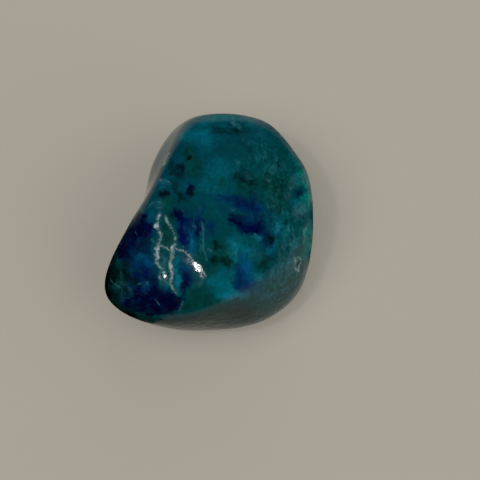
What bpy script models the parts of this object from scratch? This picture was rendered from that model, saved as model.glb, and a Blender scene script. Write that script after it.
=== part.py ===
"""A tumbled chrysocolla pebble with azurite: one natural stone, polished all over.

The lump broke off as a rough block with a few nearly flat faces, and tumbling wore its edges round. So it is
modelled as the block's faces, each a plane at a real distance from the stone's middle, melted into one
another. A shallow hollow and three swells then take it away from a regular solid, and a small worn flat
underneath is what it rests on.

Run it with: blender --background --python part.py
Units are metres and degrees, +Z is up, and the origin is on the resting face, under the middle of the stone.
"""

import math

import bmesh
import bpy
import numpy as np

MM = 0.001

# How crisp the worn edges are: 2 would wear the block into an egg, 40 would leave it hardly worn. The back
# and the right broke off later than the rest, so their edges have had less wear.
EDGE_CRISPNESS = 12
FRESH_CRISPNESS = 14  # added to it on the side that FRESH_SIDE (compass, tilt) faces
FRESH_SIDE = (75, 20)
MIDDLE_HEIGHT = 6.6 * MM  # the stone's middle above what it rests on
SPHERE_SUBDIVISIONS = 5  # 5120 triangles, about 0.9 mm apart

# Each worn face: the compass angle that it faces (0 is +X, 90 is +Y), how far it faces up (90) or down
# (-90), and its distance from the stone's middle.
FACES = {
    # The girdle, round the widest line of the stone, which lies lower at the front than at the back.
    "right": (2, 0, 12.2 * MM),
    "upper_right": (35, 8, 13.2 * MM),
    "back_right": (56, 13, 15.2 * MM),
    "back_corner": (76, 15, 13.9 * MM),
    "back": (97, 15, 13.35 * MM),
    "back_corner_left": (114, 14, 13.1 * MM),
    "back_left": (132, 10, 13.3 * MM),
    "left": (160.5, 4, 9.0 * MM),
    "tip_left": (195, -4, 15.1 * MM),
    "tip": (217, -9, 19.6 * MM),
    "tip_front": (242, -14, 13.6 * MM),
    "front": (268, -16, 13.35 * MM),
    "front_right": (290, -14, 16.2 * MM),
    "front_corner": (308, -12, 15.8 * MM),
    "lower_right": (330, -10, 13.8 * MM),
    # The steep faces above the girdle, on the left and at the front.
    "left_shoulder": (152, 20, 8.9 * MM),
    "front_shoulder": (280, 12, 12.5 * MM),
    "front_right_shoulder": (302, 10, 15.2 * MM),
    # The crown: the broad top, and the slopes that run off it.
    "top": (45, 84, 6.9 * MM),
    "tip_slope": (225, 66, 8.7 * MM),
    "right_slope": (325, 60, 9.5 * MM),
    "right_bevel": (313, 34, 11.0 * MM),
    "back_slope": (88, 66, 9.0 * MM),
    # The underside: four nearly level faces make a low dome, and four steeper ones lead up to the girdle.
    "under_tip": (215, -80, 7.5 * MM),
    "under_back_right": (35, -79, 7.4 * MM),
    "under_front_right": (305, -78, 7.5 * MM),
    "under_back_left": (120, -77, 7.5 * MM),
    "undercut_left": (200, -44, 9.9 * MM),
    "undercut_right": (15, -42, 10.0 * MM),
    "undercut_front": (285, -44, 10.7 * MM),
    "undercut_back": (95, -42, 10.4 * MM),
}

# A gentle hollow (positive depth) and three swells (negative): compass angle, tilt, depth, and the angles
# that each spans sideways and up and down, as seen from the stone's middle.
HOLLOWS = {
    "waist": (158, -2, 0.5 * MM, 14, 40),
    "shoulder_swell": (125, 4, -0.5 * MM, 18, 18),
    "tip_swell": (210, -8, -1.1 * MM, 18, 22),
    "front_swell": (294, -12, -0.4 * MM, 18, 20),
}

CHRYSOCOLLA_TEAL = (0.004, 0.085, 0.098, 1.0)
POLISH_ROUGHNESS = 0.12


def direction(compass, tilt):
    """The unit vector that points along a compass angle and a tilt."""
    a, t = math.radians(compass), math.radians(tilt)
    return np.array([math.cos(a) * math.cos(t), math.sin(a) * math.cos(t), math.sin(t)])


def worn_block(rays):
    """How far the worn block reaches along each ray from its middle.

    Along one ray, a sharp block ends at the nearest of its planes. A high power sum over all of the planes
    ends there too where one plane is much the nearest, and turns smoothly from one to the next at an edge.
    """
    crispness = EDGE_CRISPNESS + FRESH_CRISPNESS * np.maximum(rays @ direction(*FRESH_SIDE), 0)
    nearness = np.zeros(len(rays))
    for compass, tilt, distance in FACES.values():
        facing = np.maximum(rays @ direction(compass, tilt), 0)
        nearness += (facing / distance) ** crispness
    return nearness ** (-1 / crispness)


def hollowed(rays):
    """How much reach each ray loses to the hollow. A swell's depth is negative, so there it gains."""
    ray_compass = np.degrees(np.arctan2(rays[:, 1], rays[:, 0]))
    ray_tilt = np.degrees(np.arcsin(np.clip(rays[:, 2], -1, 1)))
    lost = np.zeros(len(rays))
    for compass, tilt, depth, spread_sideways, spread_upright in HOLLOWS.values():
        turn = (ray_compass - compass + 180) % 360 - 180
        sideways = turn * np.cos(np.radians(ray_tilt)) / spread_sideways
        upright = (ray_tilt - tilt) / spread_upright
        lost += depth * np.exp(-(sideways**2) - upright**2)
    return lost


def shape_sphere(bm):
    """Pushes each vertex of a sphere along its own ray, onto the stone's surface."""
    rays = np.array([v.co.normalized() for v in bm.verts])
    reach = worn_block(rays) - hollowed(rays)
    for vert, ray, distance in zip(bm.verts, rays, reach):
        vert.co = ray * distance
        vert.co.z += MIDDLE_HEIGHT


def wear_flat(bm):
    """Cuts the underside off level at z = 0, where the stone has worn a small flat to rest on."""
    everything = bm.verts[:] + bm.edges[:] + bm.faces[:]
    cut = bmesh.ops.bisect_plane(
        bm, geom=everything, plane_co=(0, 0, 0), plane_no=(0, 0, -1), clear_outer=True
    )
    rim = [e for e in cut["geom_cut"] if isinstance(e, bmesh.types.BMEdge)]
    bmesh.ops.contextual_create(bm, geom=rim)


def centre_on_footprint(bm):
    """Slides the stone so that the origin is under the middle of its bounding box."""
    places = np.array([v.co for v in bm.verts])
    middle = (places.min(axis=0) + places.max(axis=0)) / 2
    bmesh.ops.translate(bm, verts=bm.verts, vec=(-middle[0], -middle[1], 0))


def stone_material():
    material = bpy.data.materials.new("polished_chrysocolla")
    material.use_nodes = True
    finish = material.node_tree.nodes["Principled BSDF"]
    finish.inputs["Base Color"].default_value = CHRYSOCOLLA_TEAL
    finish.inputs["Roughness"].default_value = POLISH_ROUGHNESS
    finish.inputs["Metallic"].default_value = 0.0
    return material


def make_stone():
    bm = bmesh.new()
    bmesh.ops.create_icosphere(bm, subdivisions=SPHERE_SUBDIVISIONS, radius=1)
    shape_sphere(bm)
    wear_flat(bm)
    centre_on_footprint(bm)
    bmesh.ops.recalc_face_normals(bm, faces=bm.faces)
    mesh = bpy.data.meshes.new("stone")
    bm.to_mesh(mesh)
    bm.free()
    mesh.shade_smooth()
    mesh.materials.append(stone_material())
    return bpy.data.objects.new("stone", mesh)


def main():
    for old in list(bpy.data.objects):
        bpy.data.objects.remove(old)
    specimen = bpy.data.collections.new("chrysocolla_specimen")
    bpy.context.scene.collection.children.link(specimen)
    specimen.objects.link(make_stone())


main()
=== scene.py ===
# %% [markdown]
# # A tumbled chrysocolla pebble with azurite
#
# The real object is one pebble, about 28 mm across its longest diagonal. Rough copper ore was tumbled with
# finer and finer grit for weeks, until its edges were round and its skin was as glossy as glass. Its
# blue-green ground is chrysocolla, the ink-blue clouds are azurite, the dull green is malachite, and the thin
# pale lines are quartz that filled cracks in the rock.
#
# This lesson dresses the packed solid: first a camera and light, then a fine skin over the solid's coarse
# facets, and then the minerals, painted by a shader that works through the whole depth of the stone.

# %% Load the frame
import math

import bmesh
import bpy
from mathutils import Euler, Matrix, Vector
from mathutils.bvhtree import BVHTree


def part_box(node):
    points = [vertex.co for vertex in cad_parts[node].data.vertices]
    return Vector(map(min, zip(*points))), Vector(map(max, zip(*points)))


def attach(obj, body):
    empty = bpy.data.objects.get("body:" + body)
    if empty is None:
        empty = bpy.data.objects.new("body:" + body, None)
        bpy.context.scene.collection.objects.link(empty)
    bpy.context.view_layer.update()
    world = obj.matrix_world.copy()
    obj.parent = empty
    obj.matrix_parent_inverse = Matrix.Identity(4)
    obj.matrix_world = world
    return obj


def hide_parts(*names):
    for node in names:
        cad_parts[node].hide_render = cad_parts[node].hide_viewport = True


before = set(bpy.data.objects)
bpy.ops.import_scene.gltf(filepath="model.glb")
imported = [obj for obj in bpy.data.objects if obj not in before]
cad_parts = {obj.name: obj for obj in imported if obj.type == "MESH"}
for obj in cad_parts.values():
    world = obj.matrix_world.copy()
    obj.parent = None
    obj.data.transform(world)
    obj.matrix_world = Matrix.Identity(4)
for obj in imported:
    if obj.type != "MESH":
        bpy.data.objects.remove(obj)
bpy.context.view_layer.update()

MM = 0.001

scene = bpy.context.scene
cad_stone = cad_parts["stone"]
low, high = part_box("stone")
print("solid stone, mm:", [round(side / MM, 1) for side in high - low])

# %% [markdown]
# ## Nodes in one line
#
# The room, the skin and the minerals are all built from nodes. One helper adds a node in a single call, and
# another makes the smooth fade that all three need.

# %% Node helpers
def tree_node(tree, kind, settings=None, inputs=None, output=0):
    """Adds a node, sets it up, fills its sockets with values or links, and returns one of its outputs."""
    made = tree.nodes.new(kind)
    for name, value in (settings or {}).items():
        setattr(made, name, value)
    for name, value in (inputs or {}).items():
        if isinstance(value, bpy.types.NodeSocket):
            tree.links.new(value, made.inputs[name])
        else:
            made.inputs[name].default_value = value
    return made.outputs[output]


def fade(tree, value, start, end, first=0.0, last=1.0):
    """A smooth change from first to last, as the value goes from start to end."""
    return tree_node(
        tree,
        "ShaderNodeMapRange",
        {"interpolation_type": "SMOOTHSTEP"},
        {"Value": value, "From Min": start, "From Max": end, "To Min": first, "To Max": last},
    )


print("node helpers:", tree_node.__name__, fade.__name__)

# %% [markdown]
# ## The camera
#
# The stone is seen from almost straight above, tipped forward by 16 degrees. A long lens from 200 mm away
# keeps the near and far ends of such a small thing in proportion. The view is given as real sizes: the point
# that the camera looks at, how far off it is, and how wide a strip it takes in there.

# %% Camera
VIEW_TILT = math.radians(74)  # above the horizon
VIEW_DISTANCE = 200 * MM
VIEW_AIM = Vector((3.6, -2.1, 6.15)) * MM
VIEW_WIDTH = 56.6 * MM

towards_camera = Vector((0, -math.cos(VIEW_TILT), math.sin(VIEW_TILT)))
camera_data = bpy.data.cameras.new("camera")
camera_data.angle = 2 * math.atan(VIEW_WIDTH / 2 / VIEW_DISTANCE)
camera_data.clip_start = 10 * MM
camera = bpy.data.objects.new("camera", camera_data)
camera.location = VIEW_AIM + towards_camera * VIEW_DISTANCE
camera.rotation_euler = Euler((math.pi / 2 - VIEW_TILT, 0, 0))
scene.collection.objects.link(camera)
scene.camera = camera
print("lens, mm:", round(camera_data.lens, 1))

# %% [markdown]
# ## Light and floor
#
# A polished stone shows whatever it mirrors, so the dark parts of the room matter as much as the light. One
# wide soft lamp lights the stone and the floor, and two more fill in from the right and from behind. Gem
# studios put polarising filters over such lamps, so that their reflections don't veil the deep colours, and
# here their glossy visibility is off. The last lamp, small and weak, gives the glints. The floor is a plain
# pale sheet, lit a little from beneath as on a light table, so that the stone's shadow stays soft. The steep
# sides of the stone mirror it.

# %% Room, lamps and floor
HORIZON_GLOW = 0.3
CEILING_GLOW = 0.004
GLOW_HEIGHT = 0.26  # the glow fades out at this height, as the sine of its angle above the horizon
GLOW_COLOUR = (1, 0.95, 0.86, 1)
# Each lamp: the way to it from the stone, its strength, how wide it is (degrees), and whether the stone
# mirrors it. The glint's way was measured on the finished skin, which mirrors it at (-1.1, -3.6) on the map.
LAMPS = {
    "key": ((-0.31, -0.18, 0.93), 1.04, 50, False),
    "fill_right": ((0.8, -0.25, 0.52), 1.1, 70, False),
    "fill_back": ((0.3, 0.8, 0.5), 0.5, 60, False),
    "glint": ((-0.305, -0.169, 0.937), 0.26, 5.2, True),
}
FLOOR_GREY = (0.42, 0.385, 0.325, 1)
FLOOR_GLOW = (0.12, 0.112, 0.096, 1)
FLOOR_SIZE = 1.6
FLOOR_ROUGHNESS = 0.9
FLOOR_SHEEN = 0.2

scene.view_settings.view_transform = "Standard"


def make_room():
    world = bpy.data.worlds.new("studio")
    world.use_nodes = True
    tree = world.node_tree
    way = tree_node(tree, "ShaderNodeTexCoord", output="Generated")
    height = tree_node(tree, "ShaderNodeSeparateXYZ", inputs={0: way}, output="Z")
    background = tree.nodes["Background"]
    background.inputs["Color"].default_value = GLOW_COLOUR
    glow = fade(tree, height, 0.0, GLOW_HEIGHT, HORIZON_GLOW, CEILING_GLOW)
    tree.links.new(glow, background.inputs["Strength"])
    scene.world = world


def make_lamp(name, way, strength, width, mirrored):
    lamp_data = bpy.data.lights.new(name, "SUN")
    lamp_data.energy = strength
    lamp_data.angle = math.radians(width)
    lamp = bpy.data.objects.new(name, lamp_data)
    lamp.rotation_euler = Vector(way).to_track_quat("Z", "Y").to_euler()
    lamp.visible_glossy = mirrored
    scene.collection.objects.link(lamp)


def make_floor():
    bm = bmesh.new()
    bmesh.ops.create_grid(bm, x_segments=1, y_segments=1, size=FLOOR_SIZE / 2)
    mesh = bpy.data.meshes.new("floor")
    bm.to_mesh(mesh)
    bm.free()
    material = bpy.data.materials.new("pale_floor")
    material.use_nodes = True
    finish = material.node_tree.nodes["Principled BSDF"]
    finish.inputs["Base Color"].default_value = FLOOR_GREY
    finish.inputs["Roughness"].default_value = FLOOR_ROUGHNESS
    finish.inputs["Specular IOR Level"].default_value = FLOOR_SHEEN
    finish.inputs["Emission Color"].default_value = FLOOR_GLOW
    finish.inputs["Emission Strength"].default_value = 1
    mesh.materials.append(material)
    floor = bpy.data.objects.new("floor", mesh)
    scene.collection.objects.link(floor)


make_room()
for name, settings in LAMPS.items():
    make_lamp(name, *settings)
make_floor()
print("lamps:", len(LAMPS))

# %% [markdown]
# ## A map of the stone
#
# The marks on the stone are placed by a map, as museums draw them: a flat view of the stone from where the
# camera stands. A place on it is two lengths in millimetres, across (to the right) and up (towards the far
# end), from the middle of the resting face. Minerals sit in layers and sheets that run down through the rock,
# so a mark on the map is taken straight down the line of sight, into the stone.

# %% Map helpers
ACROSS = Vector((1, 0, 0))
UP = Vector((0, math.sin(VIEW_TILT), math.cos(VIEW_TILT)))
CLEAR_ABOVE = 40  # mm, well above the stone
SAME_POINT = 0.001 * MM


def on_skin(across, up):
    """The point of the stone's top that the map shows at this place, in metres."""
    start = (ACROSS * across + UP * up + towards_camera * CLEAR_ABOVE) * MM
    return solid_rays.ray_cast(start, -towards_camera)[0]


merged = bmesh.new()
merged.from_mesh(cad_stone.data)
bmesh.ops.remove_doubles(merged, verts=merged.verts, dist=SAME_POINT)
solid_rays = BVHTree.FromBMesh(merged)
print("solid's points once merged:", len(merged.verts))
print("middle of the map meets the top at, mm:", [round(c / MM, 1) for c in on_skin(0, 0)])

# %% [markdown]
# ## The polished skin
#
# The packed solid has facets almost 1 mm wide, and a glossy surface would show every one. A finer skin could
# come from subdividing them, but the level cut of the resting face has long thin triangles that subdivide
# badly. So Geometry Nodes throw an even net over the stone instead: each point of a fine ball travels along
# its own ray from the stone's middle until it meets the solid, and a blur irons out what is left of the
# facets. Then the tree adds what weeks in the tumbler leave: faint swells, where soft minerals wore faster,
# and a few small dimples. A dimple a tenth of a millimetre deep hardly shows by its shape, but it bends what
# the skin mirrors, so it catches a glint of its own.

# %% Local wear
# Across and up on the map, radius and depth, all in millimetres. Most are given one by one. The two vein pits
# came out of a search for the pair that gives the largest glint at (-5.05, -4.58).
LOCAL_WEAR = {
    "vein_pit_upper": (-4.63, -3.76, 1.4, 0.102),
    "vein_pit_lower": (-4.13, -4.63, 1.4, 0.102),
    "blue_crater": (5.65, 0.05, 0.45, 0.04),
    "right_pit_upper": (10.3, -2.7, 0.5, 0.05),
    "right_pit_lower": (10.25, -3.7, 0.5, 0.05),
    "back_pit": (-2.5, 9.05, 0.4, 0.04),
    "tip_corner": (-10.7, -7.4, 2.4, 0.16),
}
print("places worn on their own:", len(LOCAL_WEAR))


# %% The skin's node tree
BALL_STEPS = 7  # 81,920 triangles, about 0.2 mm apart
STONE_MIDDLE = Vector((0, -0.5, 6.6)) * MM
IRONING_PASSES = 24
SWELL_HEIGHT = 0.16 * MM
SWELL_WIDTH = 6.0 * MM
RIPPLE_HEIGHT = 0.022 * MM
RIPPLE_WIDTH = 1.7 * MM
CLEAR_OF_FLOOR = 2 * MM  # the wear reaches its full depth at this height


def skin_sizes(tree):
    """Gives the tree its named inputs and returns the node that holds them."""
    face = tree.interface
    face.new_socket("Solid", in_out="INPUT", socket_type="NodeSocketGeometry")
    sizes = [
        ("Ball steps", "NodeSocketInt", BALL_STEPS),
        ("Middle", "NodeSocketVector", STONE_MIDDLE),
        ("Ironing passes", "NodeSocketInt", IRONING_PASSES),
        ("Swell height", "NodeSocketFloat", SWELL_HEIGHT),
        ("Swell width", "NodeSocketFloat", SWELL_WIDTH),
        ("Ripple height", "NodeSocketFloat", RIPPLE_HEIGHT),
        ("Ripple width", "NodeSocketFloat", RIPPLE_WIDTH),
    ]
    for name, kind, value in sizes:
        face.new_socket(name, in_out="INPUT", socket_type=kind).default_value = value
    face.new_socket("Skin", in_out="OUTPUT", socket_type="NodeSocketGeometry")
    return tree.nodes.new("NodeGroupInput").outputs


def gn_math(tree, operation, a, b=0.0):
    return tree_node(tree, "ShaderNodeMath", {"operation": operation}, {0: a, 1: b})


def thrown_net(tree, sizes):
    """A fine ball whose points have travelled out from the stone's middle onto the solid."""
    ball = tree_node(
        tree, "GeometryNodeMeshIcoSphere", inputs={"Radius": 1.0, "Subdivisions": sizes["Ball steps"]}
    )
    ray = tree_node(tree, "GeometryNodeInputPosition")
    landing = tree_node(
        tree,
        "GeometryNodeRaycast",
        {"data_type": "FLOAT"},
        {
            "Target Geometry": sizes["Solid"],
            "Source Position": sizes["Middle"],
            "Ray Direction": ray,
            "Ray Length": 1.0,
        },
        output="Hit Position",
    )
    return tree_node(tree, "GeometryNodeSetPosition", inputs={"Geometry": ball, "Position": landing})


def blurred(tree, vector, passes):
    return tree_node(
        tree,
        "GeometryNodeBlurAttribute",
        {"data_type": "FLOAT_VECTOR"},
        {"Value": vector, "Iterations": passes},
    )


def ironed(tree, net, sizes):
    """Blurs the places of the points, then gives back what the blur took off the round ends."""
    place = tree_node(tree, "GeometryNodeInputPosition")
    smooth = blurred(tree, place, sizes["Ironing passes"])
    shrunk = tree_node(tree, "ShaderNodeVectorMath", {"operation": "SUBTRACT"}, {0: place, 1: smooth})
    given_back = blurred(tree, shrunk, sizes["Ironing passes"])
    full = tree_node(tree, "ShaderNodeVectorMath", inputs={0: smooth, 1: given_back})
    return tree_node(tree, "GeometryNodeSetPosition", inputs={"Geometry": net, "Position": full})


def lumps(tree, height, width, seed):
    """A smooth random lift, as high as height and about width from one lump to the next."""
    field = tree_node(
        tree,
        "ShaderNodeTexNoise",
        {"noise_dimensions": "4D"},
        {"W": seed, "Scale": gn_math(tree, "DIVIDE", 1.0, width), "Detail": 1.0},
    )
    return gn_math(tree, "MULTIPLY", gn_math(tree, "SUBTRACT", field, 0.5), height)


def dimple(tree, place, radius, depth):
    """How far a smooth round dimple at that place sinks the skin."""
    here = tree_node(tree, "GeometryNodeInputPosition")
    off = tree_node(
        tree, "ShaderNodeVectorMath", {"operation": "DISTANCE"}, {0: here, 1: place}, output="Value"
    )
    return fade(tree, off, 0.0, radius, depth, 0.0)


def worn(tree, net, sizes):
    """Adds swells, ripples and dimples, all of which die out towards the level resting face."""
    lift = gn_math(
        tree,
        "ADD",
        lumps(tree, sizes["Swell height"], sizes["Swell width"], seed=3.0),
        lumps(tree, sizes["Ripple height"], sizes["Ripple width"], seed=8.0),
    )
    for across, up, radius, depth in LOCAL_WEAR.values():
        sink = dimple(tree, on_skin(across, up), radius * MM, depth * MM)
        lift = gn_math(tree, "SUBTRACT", lift, sink)
    here = tree_node(tree, "GeometryNodeInputPosition")
    height = tree_node(tree, "ShaderNodeSeparateXYZ", inputs={0: here}, output="Z")
    lift = gn_math(tree, "MULTIPLY", lift, fade(tree, height, 0.0, CLEAR_OF_FLOOR))
    outward = tree_node(tree, "GeometryNodeInputNormal")
    offset = tree_node(tree, "ShaderNodeVectorMath", {"operation": "SCALE"}, {0: outward, "Scale": lift})
    return tree_node(tree, "GeometryNodeSetPosition", inputs={"Geometry": net, "Offset": offset})


def skin_tree(material):
    tree = bpy.data.node_groups.new("polished_skin", "GeometryNodeTree")
    sizes = skin_sizes(tree)
    net = worn(tree, ironed(tree, thrown_net(tree, sizes), sizes), sizes)
    shaded = tree_node(tree, "GeometryNodeSetShadeSmooth", inputs={"Geometry": net})
    real = tree_node(tree, "GeometryNodeRealizeInstances", inputs={"Geometry": shaded})
    dressed = tree_node(tree, "GeometryNodeSetMaterial", inputs={"Geometry": real, "Material": material})
    tree.links.new(dressed, tree.nodes.new("NodeGroupOutput").inputs["Skin"])
    return tree


# %% [markdown]
# ## Sums on sockets
#
# The minerals are a long sum of masks, and wiring each plus and times by hand hides the sum. A small class
# wraps one output socket and gives it Python's operators, so that `1 - mask * 0.5` adds its own Math nodes.

# %% Sockets that add up
class Wire:
    """One output of a shader node of the rock. Arithmetic on it adds Math nodes."""

    def __init__(self, rock, socket):
        self.rock = rock
        self.socket = socket

    def maths(self, operation, *values):
        return self.rock.node("ShaderNodeMath", {"operation": operation}, dict(enumerate(values)))

    def __add__(self, other):
        return self.maths("ADD", self, other)

    def __sub__(self, other):
        return self.maths("SUBTRACT", self, other)

    def __rsub__(self, other):
        return self.maths("SUBTRACT", other, self)

    def __mul__(self, other):
        return self.maths("MULTIPLY", self, other)

    def __truediv__(self, other):
        return self.maths("DIVIDE", self, other)

    def __abs__(self):
        return self.maths("ABSOLUTE", self)

    __radd__ = __add__
    __rmul__ = __mul__


# %% [markdown]
# ## Words for painting
#
# A few words are enough to paint rock. `cloud` is soft noise of a real size in millimetres, and `blotches` is
# the same noise with its contrast drawn out. `step` turns a smooth field into an edge, hard or soft. The word
# `patches` stands for eggs of mineral at places on the map, which run together where they touch. `seam` is a
# crack that was filled: its centre line and its width follow curves along its length, so that it can bend,
# swell and pinch like a real vein.
#
# No patch may keep a clean outline, because that looks like paint. So the rock also has two stirred copies of
# its map, `nearly` and `where`, which noise has moved about a little and a little more.

# %% Painting words
FIBRE_SQUEEZE = 0.22  # fibres are drawn out to 1 / 0.22 times their width
EGG_DEPTH = 12.5  # mm from the middle of the resting face towards the camera
EGG_REACH = 12.0  # mm
# The rim that the camera sees lies 0.13 mm higher for each mm towards the far end. With that slope taken out
# of the height, what is left, the level, is about 6.5 mm all along the rim.
RIM_SLOPE = 0.13
MAP_ENDS = (7.0, 4.5)  # mm of level: the map fades out between these


class Rock:
    """A material's nodes, the stone's map, and the fields that most layers of the stone share."""

    def __init__(self, material):
        self.tree = material.node_tree
        metres = self.node("ShaderNodeTexCoord", output="Object")
        inside = self.vector("SCALE", metres, Scale=1 / MM)
        axes = (ACROSS, UP, towards_camera)
        places = [self.vector("DOT_PRODUCT", inside, axis, output="Value") for axis in axes]
        self.map = self.node("ShaderNodeCombineXYZ", inputs=dict(enumerate(places)))
        self.nearly = self.stirred(self.map, 0.6, 0.9, seed=16, detail=1.0)
        self.where = self.stirred(self.nearly, 1.7, 2.2, seed=6)
        _, behind, height = self.parts(inside)
        self.level = height - behind * RIM_SLOPE
        self.away = self.step(self.level, *MAP_ENDS)
        self.grain = self.blotches(self.where, 0.8, seed=9, detail=2.0)
        self.silk = self.fibres(self.nearly, 0.5, seed=10)

    def node(self, kind, settings=None, inputs=None, output=0):
        """Adds one node: its settings first, then a value or a Wire for each socket that is named."""
        plain = {name: getattr(value, "socket", value) for name, value in (inputs or {}).items()}
        return Wire(self, tree_node(self.tree, kind, settings, plain, output))

    def vector(self, operation, *values, output=0, **named):
        return self.node(
            "ShaderNodeVectorMath", {"operation": operation}, {**dict(enumerate(values)), **named}, output
        )

    def parts(self, where):
        return [self.node("ShaderNodeSeparateXYZ", inputs={0: where}, output=axis) for axis in "XYZ"]

    def cloud(self, where, size, detail=2.0, roughness=0.5, seed=0.0, colour=False):
        """Noise from 0 to 1 with lumps about this many millimetres wide, or three such noises as a vector."""
        return self.node(
            "ShaderNodeTexNoise",
            {"noise_dimensions": "4D"},
            {"Vector": where, "W": seed, "Scale": 1 / size, "Detail": detail, "Roughness": roughness},
            "Color" if colour else 0,
        )

    def blotches(self, where, size, seed=0.0, detail=3.0):
        """A cloud with its contrast drawn out, so that it reaches 0 and 1."""
        return self.step(self.cloud(where, size, detail, 0.6, seed), 0.3, 0.7)

    def fibres(self, where, size, seed=0.0):
        """Blotches drawn out along the map's up direction, like silky fibres of mineral."""
        return self.blotches(self.vector("MULTIPLY", where, (1.0, FIBRE_SQUEEZE, 1.0)), size, seed)

    def stirred(self, where, size, amount, seed=0.0, detail=2.0):
        """The place, moved about by noise, so that what is drawn there gets a natural edge.

        Noise seldom strays far from its middle, so the usual move is about a tenth of the amount.
        """
        swirl = self.cloud(where, size, detail, 0.55, seed, colour=True)
        centred = self.vector("SUBTRACT", swirl, (0.5, 0.5, 0.5))
        return self.vector("MULTIPLY_ADD", centred, (amount, amount, amount), where)

    def step(self, value, start, end):
        """0 before start and 1 after end, with a smooth rise between. Start may be the larger."""
        return Wire(self, fade(self.tree, value.socket, start, end))

    def blend(self, first, second, amount):
        return self.node(
            "ShaderNodeMix", {"data_type": "RGBA"}, {"Factor": amount, "A": first, "B": second}, output=2
        )

    def egg(self, where, across, up, wide, tall, strength=1.0, turn=0.0):
        """Its strength at a place on the map, down to 0 at the edge of an egg that reaches into the stone."""
        local = self.node(
            "ShaderNodeMapping",
            {"vector_type": "TEXTURE"},
            {
                "Vector": where,
                "Location": (across, up, EGG_DEPTH),
                "Rotation": (0, 0, math.radians(turn)),
                "Scale": (wide, tall, EGG_REACH),
            },
        )
        ball = self.node("ShaderNodeTexGradient", {"gradient_type": "SPHERICAL"}, {"Vector": local}, 1)
        return ball * strength

    def patches(self, where, eggs):
        """Several eggs as one field. They add up where they overlap, so neighbours run together."""
        fields = [self.egg(where, *egg) for egg in eggs]
        return sum(fields[1:], fields[0])

    def either(self, first, second):
        return first.maths("MAXIMUM", first, second)

    def curve(self, points, value):
        """A Float Curve through these points, level beyond both ends."""
        wire = self.node("ShaderNodeFloatCurve", inputs={"Value": value})
        mapping = wire.socket.node.mapping
        mapping.extend = "HORIZONTAL"
        curve = mapping.curves[0]
        for _ in range(len(points) - 2):
            curve.points.new(0.5, 0.5)
        for point, place in zip(curve.points, points):
            point.location = place
        mapping.update()
        return wire


print("words for painting:", [name for name in vars(Rock) if not name.startswith("_")])

# %% Seams
SEAM_CLOSED = -0.5  # the half width, in millimetres, that stands for no vein at all
LEAST_SPAN = 0.001  # mm, so that a value that never changes isn't divided by 0


def seam(rock, along, aside, points):
    """How far inside a vein's edge each place lies, in millimetres, and below 0 outside it.

    Points are (along, aside, half width) in millimetres: the vein runs over the first, and wanders by the
    second. Along and aside are the map's two directions, either way round. A half width of 0 closes it, and
    one just below 0 leaves a thread that shows only faintly.
    """
    points = [(*p[:2], p[2] or SEAM_CLOSED) for p in points]
    starts, ends = points[0][0], points[-1][0]
    lows = [min(p[i] for p in points) for i in range(3)]
    spans = [max(max(p[i] for p in points) - lows[i], LEAST_SPAN) for i in range(3)]
    travelled = (along - starts) / (ends - starts)
    placed = [abs(p[0] - starts) / abs(ends - starts) for p in points]
    curves = []
    for i in (1, 2):
        drawn = [(t, (p[i] - lows[i]) / spans[i]) for t, p in zip(placed, points)]
        curves.append(rock.curve(drawn, travelled) * spans[i] + lows[i])
    centre, half_width = curves
    return half_width - abs(aside - centre)


# %% [markdown]
# ## The minerals
#
# Each mineral has its own list of patches on the map. The lists hold what a collector would point at on this
# stone: the azurite shoulder, the ink-blue band across the middle, the black-green tip. Away from the
# top, where nothing is known, clouds of noise share the stone out in the same way.
#
# The patches fade with depth as well as sideways, so one at the rim, far below the top, needs more strength.

# %% Where the blues lie
# Each patch: across, up, half width and half height (mm), and its strength and turn (degrees), left out where
# they are 1 and 0.
AZURE = [
    (-7.6, -3.4, 2.9, 3.4, 1.2, -20), (-7.1, 1, 2, 2.6, 1, -35), (-9, -1, 2, 2.6, 1, -35),
    (-7, -6.6, 4, 2.6, 1.1), (-2.7, 1, 1.5, 3.8, 1.2), (-1.9, 0.2, 1.3, 3.2, 0.7),
    (-2.4, -4.4, 0.9, 3.4, 1.2), (-1, 2.4, 0.8, 2.2, 0.8), (-0.9, 0.6, 0.7, 1.6, 0.8),
    (0.1, 0.7, 1.1, 1.6, 0.8), (3.8, 3.8, 3.4, 1.8), (5.4, 2.2, 2.4, 2, 0.9), (1.9, 4.7, 2.4, 1.3, 0.6),
    (4.2, 1.2, 2.8, 1.2, 1.1, -12), (6.7, 0.3, 1.7, 1.8, 0.9, 25), (7.1, -1.5, 1.2, 1.4, 0.5),
    (3.9, -5.2, 1.7, 1.9, 1.3), (3.9, -3.4, 1.4, 2, 0.9), (5.7, -6, 1.4, 0.8, 0.5, 20),
    (10.3, 5.1, 1, 1.3, 0.9), (-4.6, -7.2, 2.2, 1.8, 0.9), (-5.1, 6, 1.1, 1, 0.5), (-2, 5, 0.9, 1.2, 0.7),
    (7.6, 10.6, 2.4, 2, 0.3, -40), (4, 2.7, 1.3, 0.8, -0.35, -25), (-1, 1.6, 0.6, 1.4, 0.8),
]
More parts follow.
